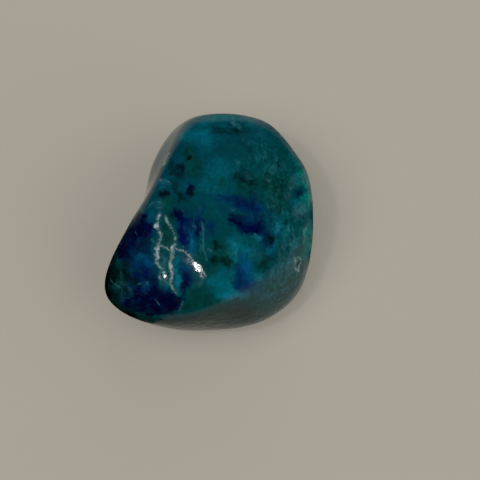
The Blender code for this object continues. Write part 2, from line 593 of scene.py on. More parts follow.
INK = [
    (-7.7, 2.4, 0.8, 0.8, 0.9), (-7.8, 1.3, 1, 1.5), (-7.1, 0.8, 1.8, 1.1, 1, 15),
    (-6.4, 1.2, 1.2, 0.6, 0.9, 20), (-8.6, -0.1, 1.5, 1.3, 1.1), (-9.6, -1.3, 1.5, 1.5, 1.1, -30),
    (-9.2, -2.2, 1.4, 0.9, 0.7), (-7.1, -0.45, 0.9, 0.55, 0.9), (-7.6, -1.4, 1, 1.1, 0.8),
    (-7.2, -4.2, 2.2, 1.4, 0.8), (-7.7, -7.4, 4.2, 1.8, 1.5, 3), (-7, -7.9, 3.6, 1.3, 1.3),
    (-6.1, -5.8, 0.7, 1.7, 0.9), (-8.2, -6, 1.3, 1.1, 0.8), (-3.7, -7.3, 1.5, 1.2, 1.1, -20),
    (-4.8, -6.9, 0.9, 1.3, 0.8), (-3.35, 2.9, 0.8, 0.8, 1.3), (-3.9, 2.3, 1, 1, 0.9),
    (-2.9, 2.1, 0.95, 0.9), (-2.9, 1.4, 0.9, 0.5, 0.9), (-3.1, 0.5, 0.95, 1.2),
    (-2.8, -0.35, 1.2, 0.7, 0.9), (-2.6, -5.5, 0.7, 1.7, 1.1), (-1, 1, 0.6, 1.2, 0.9),
    (4, 4.1, 2.4, 1.2, 0.6), (2.8, 2.1, 1.6, 1.1, 0.75, -20), (3.5, 1.5, 1.7, 1, 0.75, -25),
    (5, 0.95, 2, 0.9, 0.95, 5), (5.4, 1.3, 1.1, 0.9, 0.5, 20), (6, 2.1, 1.5, 0.7, 0.6),
    (6.9, -0.4, 1.2, 1.1, 0.8, 30), (-5.2, 4.9, 1, 0.55, 2.2, 15), (-1.95, 5.05, 0.8, 0.9, 1.6),
    (-3.5, 7.2, 0.9, 0.8, 0.6), (4.2, 12.5, 0.9, 0.6, 0.6), (4, 2.7, 1.3, 0.8, -0.4, -25),
    (2.5, 2.1, 0.8, 0.6, 0.6, -30), (-7.2, -6, 0.8, 0.8, -1), (-8, -8.2, 3.6, 1, 1.3, 6),
    (-3.6, -7.3, 1.2, 1, 2.4, -30), (-4.6, -8.1, 1.8, 0.7, 1.2), (-9.5, 0.7, 1.1, 3.4, 1.1, -29),
    (-9.6, -1.5, 0.9, 1.2, 0.8, -30),
]
CYAN = [
    (1.7, -5.3, 2.2, 2.8), (4, -1.6, 2.2, 2.9, 0.65), (2.7, -1.2, 0.9, 2.2, 0.8),
    (-3.45, -4.2, 0.75, 3.6, 1.5), (-0.4, 11.3, 2.4, 1.6, 0.85), (-1.8, 12.4, 2.6, 1.4, 0.7, 15),
    (2, 4.2, 2.4, 2.6, 0.35), (-0.6, 5.6, 1.8, 1.4, 0.5), (1.4, 7.4, 3.2, 2.6, 0.6),
    (-7.3, -2.7, 1.5, 1.1, 0.8), (-6.9, 2.3, 1, 1, 0.9), (-7, -1.2, 0.9, 0.6, 0.8),
    (-8.3, -3.6, 0.8, 1.4, 0.6), (-7.2, -6, 0.7, 1, 0.7), (-5.4, -6.6, 0.8, 1.3, 0.7, 25),
    (-4.8, -5.5, 0.8, 0.7), (5.7, 0.05, 1, 0.5, 1.2, -20), (8.1, 0.8, 1.6, 3, 0.7),
    (10.5, 3.8, 1.4, 1.3, 0.8), (5.6, 9, 0.8, 3, 0.6), (4.4, -4.3, 1.2, 1.2, 0.8),
    (-5.1, 6, 1.1, 0.9, 0.7), (-1.9, -1.2, 1.2, 2.2, 0.5), (2.9, -1.6, 0.8, 1.4, 0.6),
    (8, -3.6, 1.6, 1.6, 0.3), (5.8, -4.6, 1.2, 1, 0.6), (7, -1.4, 0.9, 0.9, 0.8),
    # The long patch at (0.8, 14.3) lies along the far rim. Its brighter cyan is painted light, for a rim that
    # tilts away from the main lamp.
    (2.8, -6.6, 2.4, 0.9, 1.3), (0.8, 14.3, 7.5, 1.5, 1.5), (5.2, 13, 2.4, 0.9, 0.7, -32),
    (10.4, 6.8, 1, 1.4, 0.8), (11.3, 6.8, 0.7, 1.2, 2.2), (11.5, 4.4, 0.7, 1.9, 1.1),
    (11.4, -0.6, 0.9, 2.6, 1.6), (-3.4, 11.8, 1.4, 2, 0.6, -30), (10.2, 9, 0.7, 1.8, 0.9, 31),
]
ROYAL_BLUE = [
    (-3, 0.6, 0.8, 1.5), (-2.8, 1.9, 0.7, 0.8, 0.9), (-2.8, -0.5, 0.9, 0.6), (5.1, 1, 1.2, 0.5, 0.9),
    (-7.2, -4.1, 1.2, 0.9, 0.8), (-6.9, 1, 0.8, 0.6, 0.6), (-2.4, -4.6, 0.5, 1.2, 0.6),
    (-8, -7.2, 0.8, 0.5, 0.4), (-8.9, -0.6, 0.9, 0.7, 0.5),
]
SKY_BLUE = [
    (4.4, -3.9, 1.1, 1.6, 1.3), (4.3, -2.4, 1, 1, 0.5), (3.8, -5.6, 0.8, 0.9, 0.2),
    (-2.4, -3.5, 0.6, 1.3, 0.6), (-1.7, -1, 0.9, 1.7, 0.9), (-1.8, 0.6, 0.6, 1.4, 0.5),
    (-7.3, -2.6, 1.3, 1.1, 0.6), (7, -1.5, 0.8, 0.7, 0.3), (5.7, 0.3, 0.8, 0.5, 0.4),
    (-1.2, 11.7, 2.2, 1.2, 0.4), (2, 2.2, 1.5, 1.8, 0.3), (5.3, -5.8, 1.4, 0.8, 0.6, 10),
]
print("blue patches:", len(AZURE + INK + ROYAL_BLUE + SKY_BLUE + CYAN))

# %% Where the greens, blacks and pale clouds lie
MALACHITE = [
    (-9.6, -5.5, 2.4, 2.6, 1.1, -15), (-10.3, -3.2, 1.8, 2.2, 0.7, -15), (-4.7, 3.2, 1.2, 2.2),
    (-4.5, 0.6, 0.9, 1.6, 1.3, 5), (-4.7, -0.7, 0.9, 0.9, 0.9), (-5, 4.2, 1.8, 0.9),
    (-2.4, 3.9, 1.4, 1.2, 0.7), (-1.9, 8.3, 1.7, 1.9, 1.2), (-2.4, 9.8, 1.4, 1.8, 0.6),
    (1.2, 6.8, 1.8, 1.6, 0.6), (0.9, -0.7, 1.4, 1.3), (1.7, -2.2, 2.2, 1.8, 1.2),
    (0, -3.4, 1.4, 1.2, 0.5), (8.2, 4.9, 2.3, 3.2, 1.1), (3.8, 5.7, 2.8, 1.6, 0.8),
    (6.6, 6.6, 2, 1.8, 0.7), (6.4, -3, 1.3, 1.8, 0.9), (7.4, -5.2, 1.4, 1, 0.9), (8, -1, 1.6, 2.4, 0.4),
    (10.2, 0, 1.6, 5, 0.4), (-1.2, -6.9, 2.6, 1.4, 0.9), (0.8, -7.3, 2.6, 1, 0.8),
    (-2.4, -8, 1.8, 0.9, 0.9), (5.8, 9.2, 1.2, 3.2, 0.5), (9, 9, 2.2, 4, 0.5, 35),
    (-9.2, -3.4, 1.6, 1.6, 0.5), (7.6, -5.7, 1.4, 0.8, 0.8, 20), (9.2, -5, 1.4, 1, 0.6, 40),
    (-9.6, -4.4, 1.1, 2.2, 0.8), (-9.3, -6.2, 1, 0.9, 0.7),
]
# The patches along the tip's rim, across -10.7 and beyond, are partly the stone's own black-green and partly
# painted shade for the dark rim.
OXIDE = [
    (-11.9, -5.2, 1.5, 3.6, 1.6, -8), (-11.3, -7.4, 1.6, 1.6, 1.1), (-9.6, -8.3, 2.6, 0.8, 1, -8),
    (-10.9, -4.1, 0.8, 1.2, 1.4), (-10.7, -6.6, 0.8, 1, 0.7), (-8.6, -5, 0.9, 1, 0.5),
    (-9.9, -4.2, 1.6, 2, 0.9, -20), (-9.4, -2.9, 1, 1.2, 0.6, -30), (-9.7, -6.2, 1, 0.9, 0.8),
    (0.85, -0.85, 0.6, 0.6, 1.1), (0.75, -2.65, 1.1, 0.8), (2.05, -2.8, 1, 0.9, 0.8),
    (-3.2, 7.9, 0.9, 0.9, 0.4), (-3.5, 7.2, 1.4, 1.8, 0.75, 20), (-4.3, 8.3, 1.2, 1.8, 0.5, -25),
    (-2.45, 9.05, 0.32, 0.36, 1.4, -35), (-2.4, 9.9, 0.7, 1, 0.5), (-3.9, 5.8, 1.3, 0.6, 0.45, -50),
    (-3.2, 4.9, 1.2, 0.6, 0.5, -50), (-3, 4.4, 0.8, 1.2, 0.8), (-1.3, 3.3, 0.6, 0.6, 0.5),
    (3.9, 6.8, 1.8, 1.3, 0.9, -15), (5.2, 6.2, 1.5, 0.9, 0.5, -30), (4.9, 5, 1, 1.4, 0.5),
    (7, 6.5, 1.1, 1.5, 0.6), (8.3, 5.6, 1.2, 1.3, 0.6), (8.95, 1.75, 0.5, 0.6),
    (7.15, 0.1, 1.2, 1.1, 0.7), (7.3, -2.2, 1.3, 0.8, 0.6), (6.1, -3.1, 0.7, 1, 0.9),
    (1.5, 12.6, 2.6, 0.8), (3.1, 12.3, 1, 0.7, 0.8), (4.2, 11.1, 0.9, 1.6, 0.6, 35),
    (5.1, 9.6, 0.6, 1.8, 0.6, 12), (10.3, 5.2, 0.9, 1.1, 0.7), (10.7, 2.2, 0.6, 0.4, 0.9),
    (10.35, -3, 0.45, 0.9, 1.2, 20), (8.6, 12, 2, 0.8, 0.4, -50), (-5, -2, 0.5, 0.6, 0.5),
    (-9.6, -4.6, 0.9, 0.9, 0.6), (6.95, 0.35, 1.1, 1.3, 0.4), (-8.55, -4.95, 0.6, 0.6, 0.6),
    (5.8, -6, 1.1, 0.6, 0.4, 20), (-4.3, -8.4, 1.8, 0.8, 0.7), (-11, -2.2, 0.9, 1.8, 1.3, -27),
]
PALE = [
    (-5.15, -4.1, 0.6, 0.4, 1.2), (-5.35, -4.9, 0.5, 0.8, 1.2), (-4.8, -4.7, 0.5, 0.6, 0.8),
    (-4.7, -3.7, 0.6, 0.6, 0.7), (-4.9, -3.2, 0.8, 1.2, 1.8), (-4.75, -2.5, 0.6, 0.9, 0.8),
    (-4.4, -0.8, 0.7, 0.6, 0.7), (-2.4, -2.5, 0.7, 1, 1.2, 10), (-1.8, -2.2, 0.9, 0.7, 0.9),
    (-0.5, -4.5, 0.7, 0.5, 1, -40), (-1.3, -5.2, 1, 1.1, 0.7, 30), (-0.6, -5, 0.6, 0.8, 0.5),
    (10.5, 2.8, 1.3, 1, 1.6, 20), (11.1, -0.4, 0.6, 2.7, 1.4), (9.3, -0.5, 1.3, 2.8, 0.5),
    (8.3, -2, 1, 1.6, 0.5), (9.6, -3.3, 1, 1.4, 1.1), (8, -3.4, 1.4, 2.2, 0.4),
    (5.7, -4.9, 1.5, 1.3, 0.5), (6.4, -6.6, 1.6, 0.8, 0.7), (8.6, -6.1, 1.6, 0.5, 0.9, 30),
    (8.9, -4.9, 0.9, 0.6, 0.5, 30), (2.9, -6.6, 2.8, 0.6, 0.6, 3), (9.3, 6, 1, 0.7, 0.9, -10),
    (9.05, 4.75, 0.55, 0.6, 1.2), (7.5, 3.5, 0.9, 1.5, 0.4), (7.5, 4.9, 1.2, 0.8, 0.45),
    (8.45, 8, 0.4, 0.4, 0.8), (4.4, 6.9, 0.9, 0.35, 0.9, -20), (7.1, 6.6, 0.45, 0.7, 0.8),
    (2.95, 3.1, 0.4, 0.4, 0.9), (0.2, -1.4, 0.45, 0.55), (0.8, 5.8, 0.35, 0.6, 0.45),
    (5.4, 0.15, 0.6, 0.4, 0.6), (5.7, -1.9, 0.9, 1.2, 0.6, 20), (4.6, -1.9, 0.5, 0.9, 0.3, 10),
    (2.9, -1.5, 0.8, 1.8, 0.5, -8), (-0.6, 0.8, 0.3, 1, 0.25), (-7.1, -5.25, 0.4, 0.5, 1.2),
    (-9.05, -6.1, 0.5, 0.5, 0.9), (-9.9, -5.6, 0.7, 0.5, 0.7), (-9.7, -7.2, 0.5, 1.2, 0.5),
    (-5.9, 3.7, 1, 0.9, 0.8), (-5.4, 3, 0.6, 1.2, 0.7), (-5.7, 2.1, 0.5, 1, 0.8),
    (-5.5, 6.5, 0.7, 0.5, 0.9), (-4.7, 6.3, 0.8, 0.5, 0.7, -30), (-6.2, 5.6, 0.5, 0.6, 0.6),
    (3, 13.2, 1.2, 0.5, 1.8, -35), (4.3, 11.8, 0.6, 1.4, 0.5, 35), (3.4, 8.5, 0.5, 0.5, 0.35),
    (10.2, 6.6, 0.9, 0.7, 0.8), (11.2, 6.6, 0.4, 1.1, 2.2),
]
# Where fine upright threads of chalky mineral run through the stone.
SILKY = [
    (-1.3, 0.2, 1.7, 4.4, 0.75), (9.6, 0, 2.4, 5.4, 1.3), (7.6, 3.4, 1.6, 3, 0.8),
    (5.7, 9.6, 1.3, 3.6, 0.9), (7.6, 8, 2.2, 3.4, 0.6), (3.4, 8, 2.4, 3, 0.3), (-9.8, -5.4, 1.4, 3, 0.3),
    (2.8, -1.6, 1.3, 2.4, 0.8), (-3.4, -4.2, 0.6, 3, 0.5), (8.6, -4.8, 2.8, 2.6), (-5, 5, 1.4, 2, 0.5),
]
# Small dark spots.
SPOTS = [
    (-2.47, 9.06, 0.34, 0.28, 1.8, -30), (-2.5, 8.85, 0.45, 0.5, 0.6, 20),
    (-3.04, 7.84, 0.42, 0.36, 1.1, 40), (-3.6, 7.3, 1, 1.1, 0.45, 25), (-4.2, 8.5, 0.5, 1.2, 0.5, -28),
    (-5.15, 4.93, 0.68, 0.4, 2.6, 20), (-1.97, 5.02, 0.5, 0.6, 1.6), (-2.95, 4.4, 0.5, 0.6, 0.9, -40),
    (0.8, -0.8, 0.55, 0.5, 1.2), (0.6, -2.55, 1, 0.55, 1, 10), (2.1, -2.9, 0.75, 0.6, 0.7),
    (8.95, 1.8, 0.4, 0.6, 0.8), (6.25, -3, 0.6, 0.9, 0.7), (6.9, -3.5, 0.6, 0.5, 0.5),
    (7.15, -0.1, 0.8, 0.7, 1, -35), (6.3, 0.3, 0.6, 0.5, 0.6), (4, 6.7, 1.1, 0.7, 0.65, -15),
    (3.1, 6.9, 0.6, 0.5, 0.5), (5.2, 6.2, 0.8, 0.5, 0.15, -30), (2.4, 12.1, 0.8, 0.4, 0.6, -20),
    (3.9, 12.1, 0.7, 0.4, 0.6, -20), (10.35, 5.1, 0.75, 1, 0.5), (10.75, 2.2, 0.35, 0.3, 0.8),
    (10.42, -3.05, 0.35, 0.75, 1.7, 10), (-3.6, -7.2, 0.7, 0.6, 0.7),
]
# Where the polish didn't take. The rim of the tip is also painted black there, as painted shade
# for the shadow under the tip that the real rim mirrors.
DULL = [
    (-9.7, 0.1, 2.2, 5, 0.74, -29), (-11.3, -2.3, 1.5, 2, 0.55, -27), (-11.9, -4.4, 2.1, 2.4, 1.4, -10),
    (-11.9, -6, 2.1, 2, 1.5, 5), (-11.1, -7.6, 2.2, 1.7, 1.7, -40), (-9.7, -8.5, 2.5, 1.6, 1.6, -15),
    (-7.8, -8.9, 2.6, 1.3, 1.4, -5), (-6.2, -9.1, 1.8, 0.8, 0.6), (1.5, 14.7, 6.5, 1.5, 0.8),
    (7.6, 12.9, 4, 1.2, 0.6, -45), (10.2, 9.9, 0.95, 4.2, 0.5, 31), (12.1, 2.2, 1.3, 3.6, 0.75),
    (11.9, -2.2, 1.4, 3.6, 0.7, 12),
]
# Where the tip's rim is painted black, as painted shade for the shadow under the tip.
TIP_SHADE_PATCHES = [
    (-12.1, -4.6, 1, 2, 1.5, -8), (-12, -6.6, 1.1, 1.5, 1.6, 12), (-10.9, -8.2, 1.6, 0.6, 1.4, -35),
    (-9.2, -8.9, 1.6, 0.6, 1, -15),
]
print("other patches:", len(MALACHITE + OXIDE + PALE + SILKY + SPOTS))

# %% [markdown]
# ## The veins
#
# A vein is a list of points, as sparse as its bends allow. Veins that stand upright on the map run over their
# up, and level ones over their across, because a curve can't double back on itself. The noise that will stir
# the map makes them crooked, so the points are only as exact as a pencil line.

# %% Where the veins run
# The bright veins, and one painted highlight. Upright: up, across and half width on the map, in millimetres,
# from the top down.
UPRIGHT_VEINS = {
    "main": [
        (2.7, -5.6, 0), (2.5, -5.62, 0.22), (2.2, -5.66, 0.16), (1.8, -5.78, 0.09), (1.35, -5.92, 0.3),
        (0.95, -5.66, 0.14), (0.2, -5.48, 0.13), (-0.4, -5.58, 0.14), (-0.95, -5.68, 0.24),
        (-1.45, -5.85, 0.24), (-2.1, -5.78, 0.28), (-2.75, -5.85, 0.26), (-3.1, -5.7, 0.2),
        (-3.5, -5.42, 0.16), (-3.85, -5.2, 0),
    ],
    "second": [
        (2.65, -4.95, 0), (2.4, -4.88, 0.09), (1.9, -4.72, 0.16), (1.35, -4.38, 0.18), (0.75, -4.02, 0.1),
        (0.1, -3.78, 0.09), (-0.6, -3.72, 0.1), (-1.15, -4, 0.23), (-1.75, -4.08, 0.23),
        (-2.3, -4.02, 0.18), (-2.9, -4.3, 0.23), (-3.45, -4.24, 0.28), (-4.15, -4.2, 0.22),
        (-4.8, -4.32, 0.23), (-5.4, -4.22, 0.18), (-5.95, -3.92, 0.16), (-6.65, -3.55, 0),
    ],
    "scratch_left": [
        (-2.1, 9.85, 0), (-2.4, 9.95, 0.15), (-2.8, 10.05, 0.14), (-3.3, 9.95, 0.05), (-3.7, 10.02, 0.14),
        (-4, 10.15, 0),
    ],
    "scratch_right": [
        (-2.15, 10.2, 0), (-2.4, 10.4, 0.15), (-2.75, 10.65, 0.09), (-3.2, 10.55, 0.05), (-3.8, 10.3, 0.14),
        (-4.15, 10.5, 0),
    ],
    # A painted highlight, not a vein: the bright line where the shoulder's edge rolls over.
    "shoulder_edge_highlight": [
        (9.9, -4.58, 0), (9.75, -4.64, 0.11), (9, -4.93, 0.13), (8.4, -5.16, 0.13), (7.95, -5.34, 0),
    ],
}
# Level veins: across, up and half width, from left to right.
LEVEL_VEINS = {
    "branch": [
        (-3.9, -1.25, 0), (-3.6, -1.38, 0.06), (-3.1, -1.55, 0.08), (-2.6, -1.8, 0.1), (-2.2, -2.15, 0.14),
        (-1.85, -2.6, 0.14), (-1.4, -3.15, 0.1), (-0.9, -3.7, 0.12), (-0.4, -4.2, 0.12), (-0.1, -4.55, 0),
    ],
    "bridge": [
        (-5.7, -0.85, 0), (-5.3, -1, 0.13), (-4.75, -1.22, 0.14), (-4.35, -1.48, 0.12), (-4.05, -1.7, 0),
    ],
}
VEIN_KNOTS = [
    (-5.95, 1.33, 0.4, 0.36, 1.3), (-5.62, 2.45, 0.35, 0.35, 0.9), (-5.8, -1.4, 0.4, 0.55),
    (-5.75, -2.2, 0.4, 0.6, 0.9), (-4.05, -1.2, 0.3, 0.5, 0.9), (-4.25, -3.3, 0.36, 0.85),
    (-4.2, -4.3, 0.3, 0.8, 0.6), (-5.05, -4.05, 0.45, 0.3, 0.9), (-5.45, -4.6, 0.3, 0.6, 0.6, 10),
    (-5.45, 6.58, 0.34, 0.3, 0.45),
]
print("bright veins:", len(UPRIGHT_VEINS) + len(LEVEL_VEINS))

# %% Where the faint threads run
# Faint threads of the same mineral, written in the same two ways.
UPRIGHT_THREADS = {
    "faint_upright": [
        (2.1, -0.72, 0), (1.7, -0.68, 0.1), (1, -0.57, 0.11), (0.3, -0.6, 0.04), (-0.4, -0.58, 0.08),
        (-1.3, -0.6, 0.12), (-1.8, -0.4, 0.05), (-2.6, -0.15, 0.07), (-3, -0.1, 0),
    ],
    "low_hook": [
        (-6.9, -2.75, 0), (-7.35, -2.85, 0.1), (-7.8, -3.05, 0.14), (-8.3, -3.35, 0.05), (-8.5, -3.5, 0),
    ],
    "tip_upright": [
        (-1.9, -10, 0), (-2.8, -9.98, -0.02), (-4.2, -10.02, 0.01), (-5.2, -9.98, -0.03),
        (-6.3, -9.85, 0.01), (-7, -9.8, 0.01), (-7.8, -9.75, 0),
    ],
    "low_arc_end": [(-5.35, -7.4, 0), (-5.6, -7.3, -0.02), (-6.2, -7.26, -0.02), (-6.8, -7.28, 0)],
    "right_rim": [(1.6, 11.05, 0), (1, 10.95, 0.08), (0, 11, 0.06), (-1, 11.1, 0)],
}
LEVEL_THREADS = {
    "left_twig": [(-6.8, -0.15, 0), (-6.5, -0.38, 0.1), (-6.1, -0.62, 0.1), (-5.7, -0.85, 0)],
    "right_twig": [(-3.2, -1.05, 0), (-2.95, -1.1, 0.13), (-2.7, -1.12, 0)],
    "upper_arc": [
        (-5.8, 6.55, 0), (-5.5, 6.65, 0.11), (-4.95, 6.52, 0.08), (-4.45, 6.22, 0.1), (-4.25, 6, 0),
    ],
    "shoulder_arc": [
        (-7.4, 3, 0), (-7, 3.35, 0.08), (-6.6, 3.72, 0.09), (-6.2, 3.98, 0.1), (-5.8, 4.05, 0.07),
        (-5.45, 3.9, 0.08), (-5.25, 3.4, 0),
    ],
    "shoulder_floor": [(-6.1, 3.2, 0), (-5.85, 3.28, 0.1), (-5.55, 3.32, 0.09), (-5.3, 3.05, 0)],
    "tip_line": [
        (-11.4, -4.55, 0), (-11.2, -4.9, 0.12), (-10.9, -5.25, 0.09), (-10.45, -5.6, 0.09),
        (-10, -5.75, 0.06), (-9.6, -5.75, 0),
    ],
    "left_tick": [(-8.5, 0.75, 0), (-8.3, 0.45, 0.12), (-8.1, 0.05, 0)],
    "low_arc": [(-8.4, -5.45, 0), (-8.1, -5.32, 0.07), (-7.7, -5.3, 0.06), (-7.3, -5.3, 0)],
    "low_line": [(-6.4, -6.9, 0), (-6, -7.15, 0.07), (-5.6, -7.55, 0.08), (-5.1, -8, 0)],
    "tip_ledge": [(-9.9, -7.15, 0), (-9.4, -6.95, -0.02), (-8.9, -6.88, -0.02), (-8.2, -7.08, 0)],
    "tip_ledge_low": [(-8.8, -7.48, 0), (-8.4, -7.46, -0.02), (-7.9, -7.52, 0)],
    "low_right_upper": [
        (7, -5.95, 0), (7.8, -5.6, 0.01), (8.8, -5.15, -0.03), (9.6, -4.7, 0.02), (10.2, -4.25, 0),
    ],
    "low_right_lower": [(5.6, -7, 0), (6.6, -6.75, -0.02), (7.6, -6.35, 0.01), (8.6, -5.85, 0)],
    "crater_rim": [
        (4.9, 0.15, 0), (5.15, 0.3, 0.08), (5.5, 0.18, 0.07), (5.7, -0.05, 0.06), (6.05, -0.1, 0.06),
        (6.3, -0.3, 0),
    ],
    "back_scratch": [(2.3, 13.55, 0), (2.6, 13.35, 0.1), (3, 13.1, 0.09), (3.3, 12.95, 0)],
}
print("faint threads:", len(UPRIGHT_THREADS) + len(LEVEL_THREADS))

# %% [markdown]
# ## Mixing the stone
#
# The colours go on in the order in which the rock grew: the blue-green ground first, then malachite and
# azurite clouds, then black copper oxide, pale chalky mineral and the veins. Every edge is eaten into by
# blotches. They multiply the patches, so they leave no specks where there is no patch.
#
# Colours are easier to judge on screen than as base colours, so each is written as it should look on the top
# of the stone, and divided by the share of the light that the top sends back.

# %% Colours
TOP_LIGHT = 0.64


def looks(red, green, blue):
    """The base colour that looks like this on screen, 0 to 255, on the top of the stone."""
    screen = [c / 255 for c in (red, green, blue)]
    linear = [((c + 0.055) / 1.055) ** 2.4 if c > 0.04 else c / 12.92 for c in screen]
    return (*[c / TOP_LIGHT for c in linear], 1.0)


TEAL_DEEP = looks(1, 50, 55)
TEAL = looks(1, 63, 67)
TEAL_BLUE = looks(1, 63, 79)
CYAN_LIGHT = looks(2, 92, 108)
CYAN_GREEN = looks(6, 92, 86)
GREEN = looks(1, 62, 56)
GREEN_DEEP = looks(2, 42, 37)
AZURE_DEEP = looks(1, 22, 62)
AZURE_LIGHT = looks(2, 48, 86)
SKY = looks(1, 69, 104)
ROYAL = looks(1, 14, 74)
INK_BLUE = looks(1, 5, 40)
INK_VIOLET = looks(4, 2, 33)
BLACK_GREEN = looks(2, 20, 22)
BLACK = looks(3, 5, 8)
CHALK = looks(36, 94, 96)
CHALK_LILAC = looks(46, 80, 98)
# Painted shade for the steep front wall, which faces away from the lamps.
FRONT_WALL_SHADE = looks(3, 28, 24)
VEIN = looks(112, 142, 138)
VEIN_STAIN = looks(28, 72, 76)
KNOT = looks(150, 168, 178)
THREAD = looks(46, 98, 104)
print("the ground's base colour:", [round(c, 3) for c in TEAL[:3]])


# %% Mineral fields
def ragged(rock, where, eggs, size, bite, seed):
    """A field of mineral, from its patches, with its edges eaten into by blotches of this size and finer."""
    coarse = (rock.blotches(where, size, seed) - 0.5) * bite
    fine = (rock.blotches(where, size * 0.4, seed + 50, detail=2.0) - 0.5) * (bite * 0.5)
    return rock.patches(where, eggs) * (coarse + fine + 1.0)


def elsewhere(rock, size, edge, seed):
    """The same mineral in loose clouds where nothing is mapped."""
    return rock.step(rock.cloud(rock.where, size, 3, 0.55, seed=seed), *edge) * rock.away


# %% The layers of mineral
def ground(rock):
    """Blue-green chrysocolla: soft clouds, bluer to the upper left, with paler cyan patches."""
    across, up, _ = rock.parts(rock.where)
    drift = up * 0.09 - across * 0.1 + rock.cloud(rock.where, 3.2, 3, 0.55, seed=11) * 1.6
    colour = rock.blend(TEAL, TEAL_BLUE, rock.step(drift, 0.6, 1.9))
    colour = rock.blend(colour, TEAL_DEEP, rock.blotches(rock.where, 2.4, seed=1) * 0.6)
    colour = rock.blend(colour, TEAL_DEEP, rock.blotches(rock.where, 0.6, seed=14) * 0.35)
    bright = rock.patches(rock.where, CYAN) * (0.75 + rock.grain * 0.5)
    greener = rock.either(rock.step(across, 9.4, 11.2), rock.step(up, 12.2, 13.8) * 0.45)
    cyans = rock.blend(CYAN_LIGHT, CYAN_GREEN, greener)
    return rock.blend(colour, cyans, rock.step(bright, 0.0, 1.1))


def with_malachite(rock, colour):
    green = rock.step(ragged(rock, rock.where, MALACHITE, 1.1, 0.8, seed=2), 0.0, 1.0)
    green = rock.either(green, elsewhere(rock, 5.0, (0.5, 0.62), seed=21))
    greens = rock.blend(GREEN, GREEN_DEEP, rock.blotches(rock.where, 1.0, seed=22, detail=2.0))
    return rock.blend(colour, greens, green * 0.85)


def with_azurite(rock, colour):
    """Blue clouds with sky-blue windows in them."""
    blue = rock.step(ragged(rock, rock.where, AZURE, 1.1, 0.7, seed=3), 0.0, 1.05)
    blue = rock.either(blue, elsewhere(rock, 6.0, (0.5, 0.58), seed=31))
    blues = rock.blend(AZURE_DEEP, AZURE_LIGHT, rock.silk * 0.45 + rock.grain * 0.25)
    colour = rock.blend(colour, blues, blue * 0.92)
    sky = rock.step(ragged(rock, rock.where, SKY_BLUE, 0.8, 0.7, seed=32), 0.0, 1.0)
    return rock.blend(colour, SKY, sky * 0.85)


def with_ink(rock, colour):
    """The deepest azurite, ink blue to violet, with a few royal-blue gleams."""
    ink = rock.step(ragged(rock, rock.where, INK, 0.9, 0.6, seed=4), 0.0, 1.1)
    ink = rock.either(ink, elsewhere(rock, 6.0, (0.57, 0.63), seed=31))
    inks = rock.blend(INK_BLUE, INK_VIOLET, rock.blotches(rock.where, 1.1, seed=41, detail=2.0))
    mottled = rock.step(rock.blotches(rock.nearly, 0.8, seed=44), 0.1, 0.6)
    colour = rock.blend(colour, inks, ink * (mottled * 0.25 + 0.74))
    royal = rock.step(ragged(rock, rock.nearly, ROYAL_BLUE, 0.8, 1.0, seed=45), 0.0, 1.0)
    return rock.blend(colour, ROYAL, royal * 0.75)


def with_oxide(rock, colour):
    """Black copper oxide, green-black where it is thin."""
    soot = ragged(rock, rock.where, OXIDE, 0.8, 0.8, seed=12)
    dark = rock.either(rock.step(soot, 0.0, 1.1), elsewhere(rock, 3.0, (0.6, 0.7), seed=42))
    blacks = rock.blend(BLACK_GREEN, BLACK, rock.step(soot, 0.8, 1.6))
    return rock.blend(colour, blacks, dark * 0.88)


def with_silky_threads(rock, colour):
    """Fine upright threads of chalky mineral. Also returns where they are."""
    silky = rock.step(rock.patches(rock.where, SILKY), 0.0, 0.7)
    return rock.blend(colour, CHALK, silky * rock.step(rock.silk, 0.45, 1.0) * 0.35), silky


def with_chalk(rock, colour):
    """Pale soft patches. Also returns where they are."""
    chalk = rock.step(ragged(rock, rock.where, PALE, 0.6, 1.2, seed=7), 0.0, 1.3)
    chalks = rock.blend(CHALK, CHALK_LILAC, rock.blotches(rock.where, 1.4, seed=71))
    return rock.blend(colour, chalks, chalk * 0.62), chalk


def with_spots(rock, colour):
    spots = rock.step(ragged(rock, rock.nearly, SPOTS, 0.5, 0.3, seed=43), 0.0, 1.0)
    return rock.blend(colour, BLACK_GREEN, spots * 0.92)


def with_grit(rock, colour, silky, coarser):
    """Lightens and darkens every mineral a little, by its grains and fibres."""
    gritty = rock.blotches(rock.map, 0.36, seed=46)
    flecks = rock.fibres(rock.map, 0.26, seed=48)
    brightness = 0.94 + rock.grain * 0.14 + (gritty - 0.5) * (coarser * 0.3 + 0.2)
    brightness = brightness + (rock.silk + flecks - 1.0) * (silky * 0.3 + 0.12)
    return rock.vector("SCALE", colour, Scale=brightness)


def with_front_wall_shade(rock, colour, front, coarser):
    """Painted shade on the steep front wall, which faces away from the lamps, broken up by blotches."""
    shade_mottle = rock.blotches(rock.where, 0.9, seed=13) * 0.3 + 0.7
    return rock.blend(colour, FRONT_WALL_SHADE, front * shade_mottle * (1 - coarser * 0.5))


# %% The layers of lines
def vein_field(rock, where, upright, level):
    """Several veins as one field of millimetres inside the edge, above 0 within a vein."""
    across, up, _ = rock.parts(where)
    lines = [seam(rock, up, across, points) for points in upright.values()]
    lines += [seam(rock, across, up, points) for points in level.values()]
    field = lines[0]
    for line in lines[1:]:
        field = rock.either(field, line)
    return field


